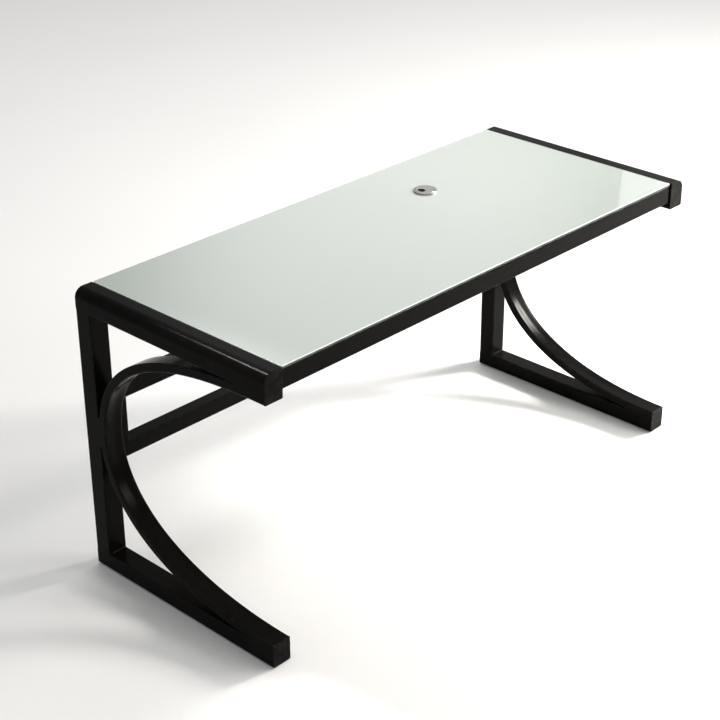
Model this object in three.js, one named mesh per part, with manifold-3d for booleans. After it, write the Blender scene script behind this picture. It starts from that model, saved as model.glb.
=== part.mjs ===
// Glass-topped computer desk. Two C-shaped steel side frames carry a front rail, a rear rail and a
// rear ladder frame; the glass rests on soft pads between the side frames' top rails and has a
// cable grommet near its rear edge.
// Millimetres, +Z up, the user sits at -Y. Origin: on the floor, under the middle of the desk.
import * as THREE from 'three';
import { mergeVertices } from 'three/addons/utils/BufferGeometryUtils.js';
import Module from 'manifold-3d';

const wasm = await Module();
wasm.setup();

// Overall size
const WIDTH = 1500;
const DEPTH = 618;
const FRAME_HEIGHT = 735;
const PAD_HEIGHT = 3;

// Steel sections of the side frames
const SIDE_WIDTH = 52;
const RAIL_HEIGHT = 52.5;
const RAIL_ROUND = 24;
const POST_DEPTH = 48;
const FOOT_HEIGHT = 41;
const WALL = 1.5;
const CORNER = 3;
const PLATE = 2;

// Curved brace: concave side from the foot's front end to the rear and up to the rail's front end
const BRACE_THICKNESS = 22;
const BRACE_EDGE = 3;
const BRACE_FOOT_Z = 61.5;
const BRACE_RAIL_Z = 662.5;
const BRACE_BACK_Y = 547.5;
const BRACE_BACK_Z = 375;
const BRACE_FOOT_PULL = 316;
const BRACE_LOW_PULL = 200;
const BRACE_HIGH_PULL = 229;
const BRACE_RAIL_PULL = 287;
const BRACE_STEPS = 22;
const BRACE_OVERRUN = 30;

// Rear ladder frame
const BAR = 40;
const LOWER_BAR_Z = 278;
const UPPER_BAR_Z = 435;
const LADDER_GAP = 1;
const LADDER_BOLT_INSET = 26;

// Front and rear rails under the glass
const CROSS_RAIL_HEIGHT = 45;
const CROSS_RAIL_DEPTH = 25;
const CROSS_RAIL_GAP = 0.5;
const FRONT_SETBACK = 4;

// Glass top
const GLASS = 8;
const GLASS_PAD = 1.5;
const GLASS_PAD_RADIUS = 9;
const GLASS_PAD_X = [-560, 0, 560];
const GLASS_SIDE_GAP = 1.5;
const GLASS_REAR_GAP = 0.5;
const GLASS_CORNER = 4;
const GLASS_CHAMFER = 0.8;
const GLASS_LONGEST_SIDE = 350;

// Corner cleats
const CLEAT_LEG = 30;
const CLEAT_THICKNESS = 3;
const CLEAT_HEIGHT = 36;
const CLEAT_SCREW = 17;

// Cable grommet: heights are above the glass, the cable slot is a circle cut off by a wider one
const GROMMET_X = 230.5;
const GROMMET_Y = 124;
const HOLE_RADIUS = 25.3;
const FLANGE_RADIUS = 30.5;
const FLANGE_TOP = 4;
const LINER_RADIUS = 24.8;
const LINER_BORE = 22.4;
const LINER_DROP = 22;
const SEAT = 1;
const CAP_RADIUS = 25.8;
const CAP_TOP = 4.8;
const CAP_SKIRT_RADIUS = 22;
const CAP_SKIRT_BORE = 20.8;
const CAP_SKIRT_DROP = 6;
const RIM_ROUND = 1.2;
const RIM_STEP = 0.4;
const SLOT_RADIUS = 11.5;
const SLOT_X = -13;
const SLOT_Y = 3.5;
const SLOT_LIMIT_RADIUS = 20;

// Fasteners and pads
const BOLT_RADIUS = 4;
const BOLT_HEAD_RADIUS = 6.5;
const BOLT_HEAD = 8;
const BOLT_SOCKET_RADIUS = 3.5;
const BOLT_SOCKET_DEPTH = 4.5;
const BOLT_CHAMFER = 1;
const BOLT_PAST_NUT = 2;
const NUT_RADIUS = 7.5;
const NUT_HEIGHT = 6.5;
const SCREW_RADIUS = 3;
const SCREW_LENGTH = 14;
const SCREW_POINT = 2;
const SCREW_POINT_TAPER = 1.2;
const SCREW_FLANGE_RADIUS = 6.5;
const SCREW_FLANGE = 1.5;
const SCREW_FLANGE_RIM = 0.8;
const SCREW_FLANGE_CHAMFER = 0.5;
const SCREW_HEX_RADIUS = 5.6;
const SCREW_HEAD = 5.5;
const FOOT_PAD_RADIUS = 17;
const FOOT_PAD_INSET = 34;
const FOOT_PAD_CHAMFER = 1;

// Gap where one piece is cut for another, how far cutters run past the material, merge distance
const CLEARANCE = 0.3;
const OVERRUN = 1;
const MERGE = 1e-4;

// Smoothness of round shapes
const CORNER_STEPS = 2;
const RAIL_STEPS = 4;
const BOLT_SIDES = 12;
const HEX_SIDES = 6;
const ROUND_SIDES = 40;

// Derived places
const FRONT_Y = -DEPTH / 2;
const REAR_Y = DEPTH / 2;
const FRAME_TOP = PAD_HEIGHT + FRAME_HEIGHT;
const RAIL_BOTTOM = FRAME_TOP - RAIL_HEIGHT;
const FOOT_TOP = PAD_HEIGHT + FOOT_HEIGHT;
const OUTER_X = WIDTH / 2;
const INNER_X = OUTER_X - SIDE_WIDTH;
const POST_FRONT_Y = REAR_Y - POST_DEPTH;
const GLASS_BOTTOM = FRAME_TOP - GLASS;
const CROSS_RAIL_TOP = GLASS_BOTTOM - GLASS_PAD;
const CROSS_RAIL_BOTTOM = CROSS_RAIL_TOP - CROSS_RAIL_HEIGHT;
const FRONT_RAIL_Y = FRONT_Y + FRONT_SETBACK;
const REAR_RAIL_Y = REAR_Y - CROSS_RAIL_DEPTH;
const LADDER_X = INNER_X - LADDER_GAP;
const LADDER_Y = REAR_Y - BAR;
const LADDER_BOLT_Z = [
  PAD_HEIGHT + LOWER_BAR_Z + BAR + LADDER_BOLT_INSET,
  PAD_HEIGHT + UPPER_BAR_Z - LADDER_BOLT_INSET,
];
const CLEAT_Z = CROSS_RAIL_TOP - CROSS_RAIL_HEIGHT / 2;
const CLEAT_CORNERS = [
  { end: 'front', y: FRONT_RAIL_Y + CROSS_RAIL_DEPTH, inward: 1 },
  { end: 'rear', y: REAR_RAIL_Y, inward: -1 },
];
const SIDES = [
  { name: 'left', sign: -1 },
  { name: 'right', sign: 1 },
];

const steel = { color: 0x262423, roughness: 0.42, metalness: 0.1 };
const zinc = { color: 0xa9a9a6, roughness: 0.35, metalness: 0.9 };
const glass = { color: 0xd9e3df, roughness: 0.06, metalness: 0 };
const rubber = { color: 0x1d1d1d, roughness: 0.9, metalness: 0 };
const silicone = { color: 0xd5d8d6, roughness: 0.6, metalness: 0 };
const satinMetal = { color: 0xb4b1af, roughness: 0.38, metalness: 0.6 };

const desk = new THREE.Group();

function addPart(name, geometry, finish) {
  const mesh = new THREE.Mesh(geometry, new THREE.MeshStandardMaterial(finish));
  mesh.name = name;
  desk.add(mesh);
  return mesh;
}

// ---- booleans ----

function toSolid(geometry) {
  const bare = geometry.clone();
  bare.deleteAttribute('normal');
  bare.deleteAttribute('uv');
  const merged = mergeVertices(bare, MERGE);
  return new wasm.Manifold(new wasm.Mesh({
    numProp: 3,
    vertProperties: new Float32Array(merged.attributes.position.array),
    triVerts: new Uint32Array(merged.index.array),
  }));
}

function toGeometry(solid) {
  const { vertProperties, triVerts } = solid.getMesh();
  const geometry = new THREE.BufferGeometry();
  geometry.setAttribute('position', new THREE.BufferAttribute(new Float32Array(vertProperties), 3));
  geometry.setIndex(new THREE.BufferAttribute(new Uint32Array(triVerts), 1));
  geometry.computeVertexNormals();
  return geometry;
}

function cut(geometry, tools) {
  const remaining = tools.reduce((solid, tool) => solid.subtract(toSolid(tool)), toSolid(geometry));
  return toGeometry(remaining);
}

// ---- outlines and prisms ----

// Rectangle with its own radius at each corner, given from low-low counter-clockwise.
function roundedRect(u0, v0, u1, v1, [lowLow, highLow, highHigh, lowHigh]) {
  const outline = new THREE.Shape();
  outline.moveTo(u0 + lowLow, v0);
  outline.lineTo(u1 - highLow, v0);
  outline.absarc(u1 - highLow, v0 + highLow, highLow, -Math.PI / 2, 0);
  outline.lineTo(u1, v1 - highHigh);
  outline.absarc(u1 - highHigh, v1 - highHigh, highHigh, 0, Math.PI / 2);
  outline.lineTo(u0 + lowHigh, v1);
  outline.absarc(u0 + lowHigh, v1 - lowHigh, lowHigh, Math.PI / 2, Math.PI);
  outline.lineTo(u0, v0 + lowLow);
  outline.absarc(u0 + lowLow, v0 + lowLow, lowLow, Math.PI, 1.5 * Math.PI);
  return outline;
}

// Hollow section: the same rectangle with the wall taken off inside.
function hollowRect(u0, v0, u1, v1, radii) {
  const outline = roundedRect(u0, v0, u1, v1, radii);
  const innerRadii = radii.map((radius) => radius - WALL);
  outline.holes.push(roundedRect(u0 + WALL, v0 + WALL, u1 - WALL, v1 - WALL, innerRadii));
  return outline;
}

function extrude(outline, length, steps) {
  return new THREE.ExtrudeGeometry(outline, { depth: length, bevelEnabled: false, curveSegments: steps });
}

const ALONG_X = new THREE.Matrix4().makeBasis(
  new THREE.Vector3(0, 1, 0), new THREE.Vector3(0, 0, 1), new THREE.Vector3(1, 0, 0));
const ALONG_MINUS_Y = new THREE.Matrix4().makeBasis(
  new THREE.Vector3(1, 0, 0), new THREE.Vector3(0, 0, 1), new THREE.Vector3(0, -1, 0));

// Outline in (y, z), extruded from xLow to xHigh.
function prismX(outline, xLow, xHigh, steps = CORNER_STEPS) {
  return extrude(outline, xHigh - xLow, steps).applyMatrix4(ALONG_X).translate(xLow, 0, 0);
}

// Outline in (x, z), extruded from yFront to yRear.
function prismY(outline, yFront, yRear, steps = CORNER_STEPS) {
  return extrude(outline, yRear - yFront, steps).applyMatrix4(ALONG_MINUS_Y).translate(0, yRear, 0);
}

// Outline in (x, y), extruded from zLow to zHigh.
function prismZ(outline, zLow, zHigh, steps = CORNER_STEPS) {
  return extrude(outline, zHigh - zLow, steps).translate(0, 0, zLow);
}

const SAME = [CORNER, CORNER, CORNER, CORNER];

// ---- round pieces and fasteners ----

// Solid of revolution about Z: its [radius, height] points start and end on the axis, or close a loop.
function turned(points, sides) {
  const profile = points.map(([radius, height]) => new THREE.Vector2(radius, height));
  return new THREE.LatheGeometry(profile, sides).rotateX(Math.PI / 2);
}

// Rod along Z with its middle at the origin.
function standingRod(radius, height, sides) {
  return new THREE.CylinderGeometry(radius, radius, height, sides).rotateX(Math.PI / 2);
}

function rodX(radius, xLow, xHigh, y, z, sides = BOLT_SIDES) {
  const rod = new THREE.CylinderGeometry(radius, radius, xHigh - xLow, sides).rotateZ(Math.PI / 2);
  return rod.translate((xLow + xHigh) / 2, y, z);
}

function rodY(radius, yLow, yHigh, x, z, sides = BOLT_SIDES) {
  const rod = new THREE.CylinderGeometry(radius, radius, yHigh - yLow, sides);
  return rod.translate(x, (yLow + yHigh) / 2, z);
}

// Socket-head bolt standing on the XY plane: shank along +Z, head below.
function socketBolt(length) {
  const blank = turned([
    [0, -BOLT_HEAD], [BOLT_HEAD_RADIUS - BOLT_CHAMFER, -BOLT_HEAD],
    [BOLT_HEAD_RADIUS, BOLT_CHAMFER - BOLT_HEAD], [BOLT_HEAD_RADIUS, 0], [BOLT_RADIUS, 0],
    [BOLT_RADIUS, length - BOLT_CHAMFER], [BOLT_RADIUS - BOLT_CHAMFER, length], [0, length],
  ], BOLT_SIDES);
  const socket = standingRod(BOLT_SOCKET_RADIUS, 2 * BOLT_SOCKET_DEPTH, HEX_SIDES);
  return cut(blank, [socket.translate(0, 0, -BOLT_HEAD)]);
}

// Hex flange screw: shank along +Z from the XY plane, flange and hexagon below.
function flangeScrew() {
  const blank = turned([
    [0, -SCREW_FLANGE], [SCREW_FLANGE_RADIUS - SCREW_FLANGE_CHAMFER, -SCREW_FLANGE],
    [SCREW_FLANGE_RADIUS, -SCREW_FLANGE_RIM], [SCREW_FLANGE_RADIUS, 0],
    [SCREW_RADIUS, 0], [SCREW_RADIUS, SCREW_LENGTH - SCREW_POINT],
    [SCREW_RADIUS - SCREW_POINT_TAPER, SCREW_LENGTH], [0, SCREW_LENGTH],
  ], BOLT_SIDES);
  const hexHeight = SCREW_HEAD - SCREW_FLANGE / 2;
  const hexagon = standingRod(SCREW_HEX_RADIUS, hexHeight, HEX_SIDES);
  hexagon.translate(0, 0, hexHeight / 2 - SCREW_HEAD);
  return toGeometry(toSolid(blank).add(toSolid(hexagon)));
}

// ---- side frames ----

// Corner radii of the top rail's section: the large one is at the outer top edge.
function railRadii(sign) {
  return sign < 0 ? [CORNER, CORNER, CORNER, RAIL_ROUND] : [CORNER, CORNER, RAIL_ROUND, CORNER];
}

function sideSpan(sign) {
  return sign < 0 ? [-OUTER_X, -INNER_X] : [INNER_X, OUTER_X];
}

// Concave side of the brace as two Bezier halves in (y, z), each with its unit normal to the rear.
function braceLine() {
  const toFrame = (y, z) => new THREE.Vector2(FRONT_Y + y, PAD_HEIGHT + z);
  const lower = new THREE.CubicBezierCurve(
    toFrame(0, BRACE_FOOT_Z), toFrame(BRACE_FOOT_PULL, BRACE_FOOT_Z),
    toFrame(BRACE_BACK_Y, BRACE_BACK_Z - BRACE_LOW_PULL), toFrame(BRACE_BACK_Y, BRACE_BACK_Z));
  const upper = new THREE.CubicBezierCurve(
    toFrame(BRACE_BACK_Y, BRACE_BACK_Z), toFrame(BRACE_BACK_Y, BRACE_BACK_Z + BRACE_HIGH_PULL),
    toFrame(BRACE_RAIL_PULL, BRACE_RAIL_Z), toFrame(0, BRACE_RAIL_Z));
  const line = [];
  for (const half of [lower, upper]) {
    for (let step = half === lower ? 0 : 1; step <= BRACE_STEPS; step += 1) {
      const point = half.getPoint(step / BRACE_STEPS);
      const tangent = half.getTangent(step / BRACE_STEPS);
      line.push({ point, normal: new THREE.Vector2(tangent.y, -tangent.x) });
    }
  }
  return line;
}

// Ribbon between two depths behind the brace's concave side, run on past its front ends.
function braceRibbon(nearDepth, farDepth, overrun) {
  const offset = (depth) => {
    const side = braceLine().map(({ point, normal }) => point.clone().addScaledVector(normal, depth));
    const first = side[0].clone().setX(FRONT_Y - overrun);
    const last = side[side.length - 1].clone().setX(FRONT_Y - overrun);
    return [first, ...side, last];
  };
  return new THREE.Shape([...offset(nearDepth), ...offset(farDepth).reverse()]);
}

function curvedBrace(sign) {
  const [xLow, xHigh] = sideSpan(sign);
  const skin = new THREE.ExtrudeGeometry(braceRibbon(0, BRACE_THICKNESS, BRACE_OVERRUN), {
    depth: SIDE_WIDTH - 2 * BRACE_EDGE,
    bevelThickness: BRACE_EDGE,
    bevelSize: BRACE_EDGE,
    bevelOffset: -BRACE_EDGE,
    bevelSegments: CORNER_STEPS,
  }).applyMatrix4(ALONG_X).translate(xLow + BRACE_EDGE, 0, 0);
  const hollow = braceRibbon(WALL, BRACE_THICKNESS - WALL, 2 * BRACE_OVERRUN);
  const bore = prismX(hollow, xLow + WALL, xHigh - WALL);
  const frontFace = FRONT_Y + PLATE;
  const low = FOOT_TOP + CLEARANCE;
  const high = RAIL_BOTTOM - CLEARANCE;
  const room = new THREE.BoxGeometry(2 * SIDE_WIDTH, DEPTH, high - low);
  room.translate((xLow + xHigh) / 2, frontFace + DEPTH / 2, (low + high) / 2);
  return toGeometry(toSolid(skin).subtract(toSolid(bore)).intersect(toSolid(room)));
}

function topRail(sign) {
  const [xLow, xHigh] = sideSpan(sign);
  const tube = prismY(hollowRect(xLow, RAIL_BOTTOM, xHigh, FRAME_TOP, railRadii(sign)),
    FRONT_Y + PLATE, REAR_Y - PLATE, RAIL_STEPS);
  const holes = CLEAT_CORNERS.map(({ y, inward }) => rodX(SCREW_RADIUS + CLEARANCE,
    sign * INNER_X - 2 * WALL, sign * INNER_X + 2 * WALL, y + inward * CLEAT_SCREW, CLEAT_Z));
  return cut(tube, holes);
}

function rearPost(sign) {
  const [xLow, xHigh] = sideSpan(sign);
  const tube = prismZ(hollowRect(xLow, POST_FRONT_Y, xHigh, REAR_Y, SAME), FOOT_TOP, RAIL_BOTTOM);
  const holes = LADDER_BOLT_Z.map((z) => rodX(BOLT_RADIUS + CLEARANCE,
    sign * INNER_X - 2 * WALL, sign * INNER_X + 2 * WALL, LADDER_Y + BAR / 2, z));
  return cut(tube, holes);
}

function footRail(sign) {
  const [xLow, xHigh] = sideSpan(sign);
  return prismY(hollowRect(xLow, PAD_HEIGHT, xHigh, FOOT_TOP, SAME), FRONT_Y + PLATE, REAR_Y - PLATE);
}

function endPlate(sign, zLow, zHigh, radii, yFront, steps) {
  const [xLow, xHigh] = sideSpan(sign);
  return prismY(roundedRect(xLow, zLow, xHigh, zHigh, radii), yFront, yFront + PLATE, steps);
}

function footPad() {
  return turned([
    [0, 0], [FOOT_PAD_RADIUS - FOOT_PAD_CHAMFER, 0], [FOOT_PAD_RADIUS, FOOT_PAD_CHAMFER],
    [FOOT_PAD_RADIUS, PAD_HEIGHT], [0, PAD_HEIGHT],
  ], ROUND_SIDES / 2);
}

for (const { name, sign } of SIDES) {
  const rearFace = REAR_Y - PLATE;
  const railEnd = PAD_HEIGHT + BRACE_RAIL_Z;
  const footEnd = PAD_HEIGHT + BRACE_FOOT_Z;
  const radii = railRadii(sign);
  addPart(`top_rail_${name}`, topRail(sign), steel);
  addPart(`rear_post_${name}`, rearPost(sign), steel);
  addPart(`foot_rail_${name}`, footRail(sign), steel);
  addPart(`curved_brace_${name}`, curvedBrace(sign), steel);
  const railFront = endPlate(sign, railEnd, FRAME_TOP, radii, FRONT_Y, RAIL_STEPS);
  const railRear = endPlate(sign, RAIL_BOTTOM, FRAME_TOP, radii, rearFace, RAIL_STEPS);
  const footFront = endPlate(sign, PAD_HEIGHT, footEnd, SAME, FRONT_Y, CORNER_STEPS);
  const footRear = endPlate(sign, PAD_HEIGHT, FOOT_TOP, SAME, rearFace, CORNER_STEPS);
  addPart(`rail_front_plate_${name}`, railFront, steel);
  addPart(`rail_rear_plate_${name}`, railRear, steel);
  addPart(`foot_front_plate_${name}`, footFront, steel);
  addPart(`foot_rear_plate_${name}`, footRear, steel);
  for (const [end, y] of [['front', FRONT_Y + FOOT_PAD_INSET], ['rear', REAR_Y - FOOT_PAD_INSET]]) {
    addPart(`foot_pad_${end}_${name}`, footPad(), rubber)
      .position.set(sign * (OUTER_X - SIDE_WIDTH / 2), y, 0);
  }
}

// ---- rear ladder frame ----

function crossBar(zLow) {
  const zHigh = zLow + BAR;
  return prismX(hollowRect(LADDER_Y, zLow, REAR_Y, zHigh, SAME), -LADDER_X, LADDER_X);
}

function upright(sign) {
  const [xLow, xHigh] = sign < 0 ? [-LADDER_X, BAR - LADDER_X] : [LADDER_X - BAR, LADDER_X];
  const tube = prismZ(hollowRect(xLow, LADDER_Y, xHigh, REAR_Y, SAME),
    PAD_HEIGHT + LOWER_BAR_Z + BAR, PAD_HEIGHT + UPPER_BAR_Z);
  const holes = LADDER_BOLT_Z.map((z) => rodX(BOLT_RADIUS + CLEARANCE,
    xLow - OVERRUN, xHigh + OVERRUN, LADDER_Y + BAR / 2, z));
  return cut(tube, holes);
}

// Hex nut welded to the inside of the post's inner wall, with its bore along X.
function weldNut() {
  const blank = rodX(NUT_RADIUS, 0, NUT_HEIGHT, 0, 0, HEX_SIDES);
  return cut(blank, [rodX(BOLT_RADIUS + CLEARANCE, -OVERRUN, NUT_HEIGHT + OVERRUN, 0, 0)]);
}

addPart('lower_cross_bar', crossBar(PAD_HEIGHT + LOWER_BAR_Z), steel);
addPart('upper_cross_bar', crossBar(PAD_HEIGHT + UPPER_BAR_Z), steel);
for (const { name, sign } of SIDES) {
  addPart(`ladder_upright_${name}`, upright(sign), steel);
  LADDER_BOLT_Z.forEach((z, index) => {
    const level = index === 0 ? 'lower' : 'upper';
    const y = LADDER_Y + BAR / 2;
    const boltLength = BAR + LADDER_GAP + WALL + NUT_HEIGHT + BOLT_PAST_NUT;
    const bolt = addPart(`ladder_bolt_${level}_${name}`, socketBolt(boltLength), zinc);
    bolt.rotation.y = sign * Math.PI / 2;
    bolt.position.set(sign * (LADDER_X - BAR - CLEARANCE), y, z);
    const nutX = sign < 0 ? -(INNER_X + WALL + CLEARANCE + NUT_HEIGHT) : INNER_X + WALL + CLEARANCE;
    addPart(`weld_nut_${level}_${name}`, weldNut(), zinc).position.set(nutX, y, z);
  });
}

// ---- front and rear rails ----

function crossRail(yFront, holeY) {
  const outline = hollowRect(yFront, CROSS_RAIL_BOTTOM, yFront + CROSS_RAIL_DEPTH, CROSS_RAIL_TOP, SAME);
  const reach = INNER_X - CROSS_RAIL_GAP;
  const holes = SIDES.map(({ sign }) => rodY(SCREW_RADIUS + CLEARANCE,
    holeY - 2 * WALL, holeY + 2 * WALL, sign * (INNER_X - CLEAT_SCREW), CLEAT_Z));
  return cut(prismX(outline, -reach, reach), holes);
}

// Steel angle in the corner between a side rail and a cross rail.
function cleat(sign, inward) {
  const leg = CLEAT_LEG;
  const thick = CLEAT_THICKNESS;
  const corner = [[0, 0], [leg, 0], [leg, thick], [thick, thick], [thick, leg], [0, leg]];
  const outline = new THREE.Shape(corner.map(([u, v]) => new THREE.Vector2(-sign * u, inward * v)));
  const low = CLEAT_Z - CLEAT_HEIGHT / 2;
  const hole = SCREW_RADIUS + CLEARANCE;
  return cut(prismZ(outline, low, low + CLEAT_HEIGHT), [
    rodX(hole, -2 * thick, 2 * thick, inward * CLEAT_SCREW, CLEAT_Z),
    rodY(hole, -2 * thick, 2 * thick, -sign * CLEAT_SCREW, CLEAT_Z),
  ]);
}

addPart('front_rail', crossRail(FRONT_RAIL_Y, FRONT_RAIL_Y + CROSS_RAIL_DEPTH), steel);
addPart('rear_rail', crossRail(REAR_RAIL_Y, REAR_RAIL_Y), steel);
for (const { name, sign } of SIDES) {
  for (const { end, y, inward } of CLEAT_CORNERS) {
    const reach = CLEAT_THICKNESS + 2 * CLEARANCE;
    addPart(`cleat_${end}_${name}`, cleat(sign, inward), steel)
      .position.set(sign * (INNER_X - CLEARANCE), y + inward * CLEARANCE, 0);
    const sideScrew = addPart(`cleat_screw_${end}_${name}_side`, flangeScrew(), zinc);
    sideScrew.rotation.y = sign * Math.PI / 2;
    sideScrew.position.set(sign * (INNER_X - reach), y + inward * CLEAT_SCREW, CLEAT_Z);
    const railScrew = addPart(`cleat_screw_${end}_${name}_rail`, flangeScrew(), zinc);
    railScrew.rotation.x = inward * Math.PI / 2;
    railScrew.position.set(sign * (INNER_X - CLEAT_SCREW), y + inward * reach, CLEAT_Z);
  }
}

// ---- glass top ----

// Outline with extra points along its long sides, so that the flat faces between them stay compact.
function splitLongSides(outline, longest) {
  const corners = outline.getPoints(CORNER_STEPS);
  const points = corners.flatMap((point, index) => {
    const next = corners[(index + 1) % corners.length];
    const parts = Math.max(1, Math.ceil(point.distanceTo(next) / longest));
    return Array.from({ length: parts }, (_, part) => point.clone().lerp(next, part / parts));
  });
  return new THREE.Shape(points);
}

function glassTop() {
  const xReach = INNER_X - GLASS_SIDE_GAP;
  const corners = [GLASS_CORNER, GLASS_CORNER, GLASS_CORNER, GLASS_CORNER];
  const rectangle = roundedRect(-xReach, FRONT_RAIL_Y, xReach, REAR_Y - GLASS_REAR_GAP, corners);
  const outline = splitLongSides(rectangle, GLASS_LONGEST_SIDE);
  const hole = new THREE.Path().absarc(GROMMET_X, GROMMET_Y, HOLE_RADIUS, 0, 2 * Math.PI);
  outline.holes.push(new THREE.Path(hole.getPoints(ROUND_SIDES / 2)));
  return new THREE.ExtrudeGeometry(outline, {
    depth: GLASS - 2 * GLASS_CHAMFER,
    bevelThickness: GLASS_CHAMFER,
    bevelSize: GLASS_CHAMFER,
    bevelOffset: -GLASS_CHAMFER,
    bevelSegments: 1,
    curveSegments: CORNER_STEPS,
  }).translate(0, 0, GLASS_BOTTOM + GLASS_CHAMFER);
}

addPart('glass_top', glassTop(), glass);
for (const [end, y] of [['front', FRONT_RAIL_Y], ['rear', REAR_RAIL_Y]]) {
  GLASS_PAD_X.forEach((x, index) => {
    const pad = turned([
      [0, 0], [GLASS_PAD_RADIUS, 0], [GLASS_PAD_RADIUS, GLASS_PAD], [0, GLASS_PAD],
    ], ROUND_SIDES / 2);
    addPart(`glass_pad_${end}_${index + 1}`, pad, silicone)
      .position.set(x, y + CROSS_RAIL_DEPTH / 2, CROSS_RAIL_TOP);
  });
}

// ---- cable grommet, both pieces drawn about the hole's axis with the glass surface at height 0 ----

function roundedRim(radius, top) {
  return [[radius, top - RIM_ROUND], [radius - RIM_STEP, top - RIM_STEP], [radius - RIM_ROUND, top]];
}

function grommetLiner() {
  return turned([
    [LINER_BORE, -LINER_DROP], [LINER_RADIUS, -LINER_DROP], [LINER_RADIUS, 0], [FLANGE_RADIUS, 0],
    ...roundedRim(FLANGE_RADIUS, FLANGE_TOP),
    [CAP_RADIUS + CLEARANCE, FLANGE_TOP], [CAP_RADIUS + CLEARANCE, SEAT], [LINER_BORE, SEAT],
    [LINER_BORE, -LINER_DROP],
  ], ROUND_SIDES);
}

function grommetCap() {
  const under = SEAT + CLEARANCE;
  const body = turned([
    [0, under], [CAP_SKIRT_BORE, under], [CAP_SKIRT_BORE, -CAP_SKIRT_DROP],
    [CAP_SKIRT_RADIUS, -CAP_SKIRT_DROP], [CAP_SKIRT_RADIUS, under], [CAP_RADIUS, under],
    ...roundedRim(CAP_RADIUS, CAP_TOP), [0, CAP_TOP],
  ], ROUND_SIDES);
  const slot = toSolid(standingRod(SLOT_RADIUS, 2 * LINER_DROP, ROUND_SIDES).translate(SLOT_X, SLOT_Y, 0))
    .intersect(toSolid(standingRod(SLOT_LIMIT_RADIUS, 2 * LINER_DROP, ROUND_SIDES)));
  return toGeometry(toSolid(body).subtract(slot));
}

addPart('grommet_liner', grommetLiner(), satinMetal).position.set(GROMMET_X, GROMMET_Y, FRAME_TOP);
addPart('grommet_cap', grommetCap(), satinMetal).position.set(GROMMET_X, GROMMET_Y, FRAME_TOP);

export default desk;
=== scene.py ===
"""Looks of the glass-topped computer desk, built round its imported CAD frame.

Metres, +Z up, the user sits at -Y.
"""

import math
import random

import bpy
from mathutils import Matrix, Vector
from mathutils.geometry import interpolate_bezier, tessellate_polygon


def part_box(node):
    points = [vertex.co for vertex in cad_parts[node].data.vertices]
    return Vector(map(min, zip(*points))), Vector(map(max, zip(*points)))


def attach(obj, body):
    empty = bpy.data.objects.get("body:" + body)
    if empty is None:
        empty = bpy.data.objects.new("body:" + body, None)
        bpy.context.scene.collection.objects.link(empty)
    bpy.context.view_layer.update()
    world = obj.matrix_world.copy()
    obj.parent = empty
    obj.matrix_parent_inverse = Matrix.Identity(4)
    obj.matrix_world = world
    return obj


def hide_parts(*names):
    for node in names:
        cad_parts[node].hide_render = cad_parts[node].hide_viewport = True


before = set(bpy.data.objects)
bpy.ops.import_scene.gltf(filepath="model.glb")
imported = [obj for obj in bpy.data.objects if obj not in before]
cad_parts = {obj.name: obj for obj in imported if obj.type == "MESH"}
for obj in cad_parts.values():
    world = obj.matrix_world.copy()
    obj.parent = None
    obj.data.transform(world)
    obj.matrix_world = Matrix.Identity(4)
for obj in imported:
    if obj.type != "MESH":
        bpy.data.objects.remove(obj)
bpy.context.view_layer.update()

MM = 0.001
WEAR = "wear"
rng = random.Random(11)
SIDES = (("left", -1), ("right", 1))

# Camera, from the perspective of the desk's edges
CAMERA_PLACE = (-2.80158, -2.53464, 2.32716)
CAMERA_AZIMUTH = 0.8091
CAMERA_DOWN = 0.4753
CAMERA_ROLL = -0.0055
CAMERA_LENS = 84.44
CAMERA_SENSOR = 36
CAMERA_REACH = 50

# The surroundings are brightest in this direction. BRIGHT_SPREAD: the cosines of the angles from it at which
# they are dim and bright; BRIGHTNESS: how dim and how bright
BRIGHT_HEADING = (0.6655, 0.6206, 0.4147)
BRIGHT_SPREAD = (0.985, 1.0)
BRIGHTNESS = (0.45, 1.40)

# Lights: place, target, size, watts, colour, spread in degrees
WHITE = (1, 1, 1)
WARM = (1, 0.96, 0.91)
WARMER = (1, 0.95, 0.89)
LIGHTS = {
    "key": ((2.55, -2.94, 2.8), (-0.1, 0, 0.35), (1.8, 1.8), 75, WARM, 180),
    "overhead": ((2.2, 1.4, 7.0), (0.6, 0.2, 0), (7.0, 6.0), 190, WHITE, 180),
    "rear_strip": ((-0.93, 0.95, 2.25), (-0.92, -0.2, 0.72), (0.16, 0.3), 0.9, WHITE, 15),
    "front_strip": ((3.4, -1.30, 1.80), (0.7, 0.1, 0.3), (0.45, 0.9), 190, WARMER, 180),
    "brace_beam": ((3.3, -1.0, 1.9), (0.75, -0.12, 0.12), (1.0, 1.0), 6, WARM, 22),
    "far_window": ((5.12, 1.89, 2.45), (0.5, 0, 0.74), (1.6, 1.5), 5, WHITE, 180),
}
FLOOR_SIZE = 40

# Materials: the noise values that the lowest and highest roughness belong to, and the shares of the glass's
# height between which its edge goes from dark green, deepened by painted shade, to a painted highlight
NOISE_MID = (0.3, 0.7)
COAT_IOR = 1.11
EDGE_SHADE_TOP = 0.60
EDGE_HIGHLIGHT_FOOT = 0.85

# Edges and rounds. FLAT_WEIGHT: how fully the normals follow the large flat faces
FLAT_WEIGHT = 100
SMALLEST_RADIUS = 0.05 * MM
TUBE_CORNER = 3 * MM
RAIL_ROUND = 24 * MM
BUTT_EDGE = 0.4 * MM
PLATE_EDGE = 1.1 * MM
FLUSH_STEP = 0.02 * MM
CORNER_STEPS = 6
RAIL_STEPS = 20
EDGE_STEPS = 4

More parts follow.
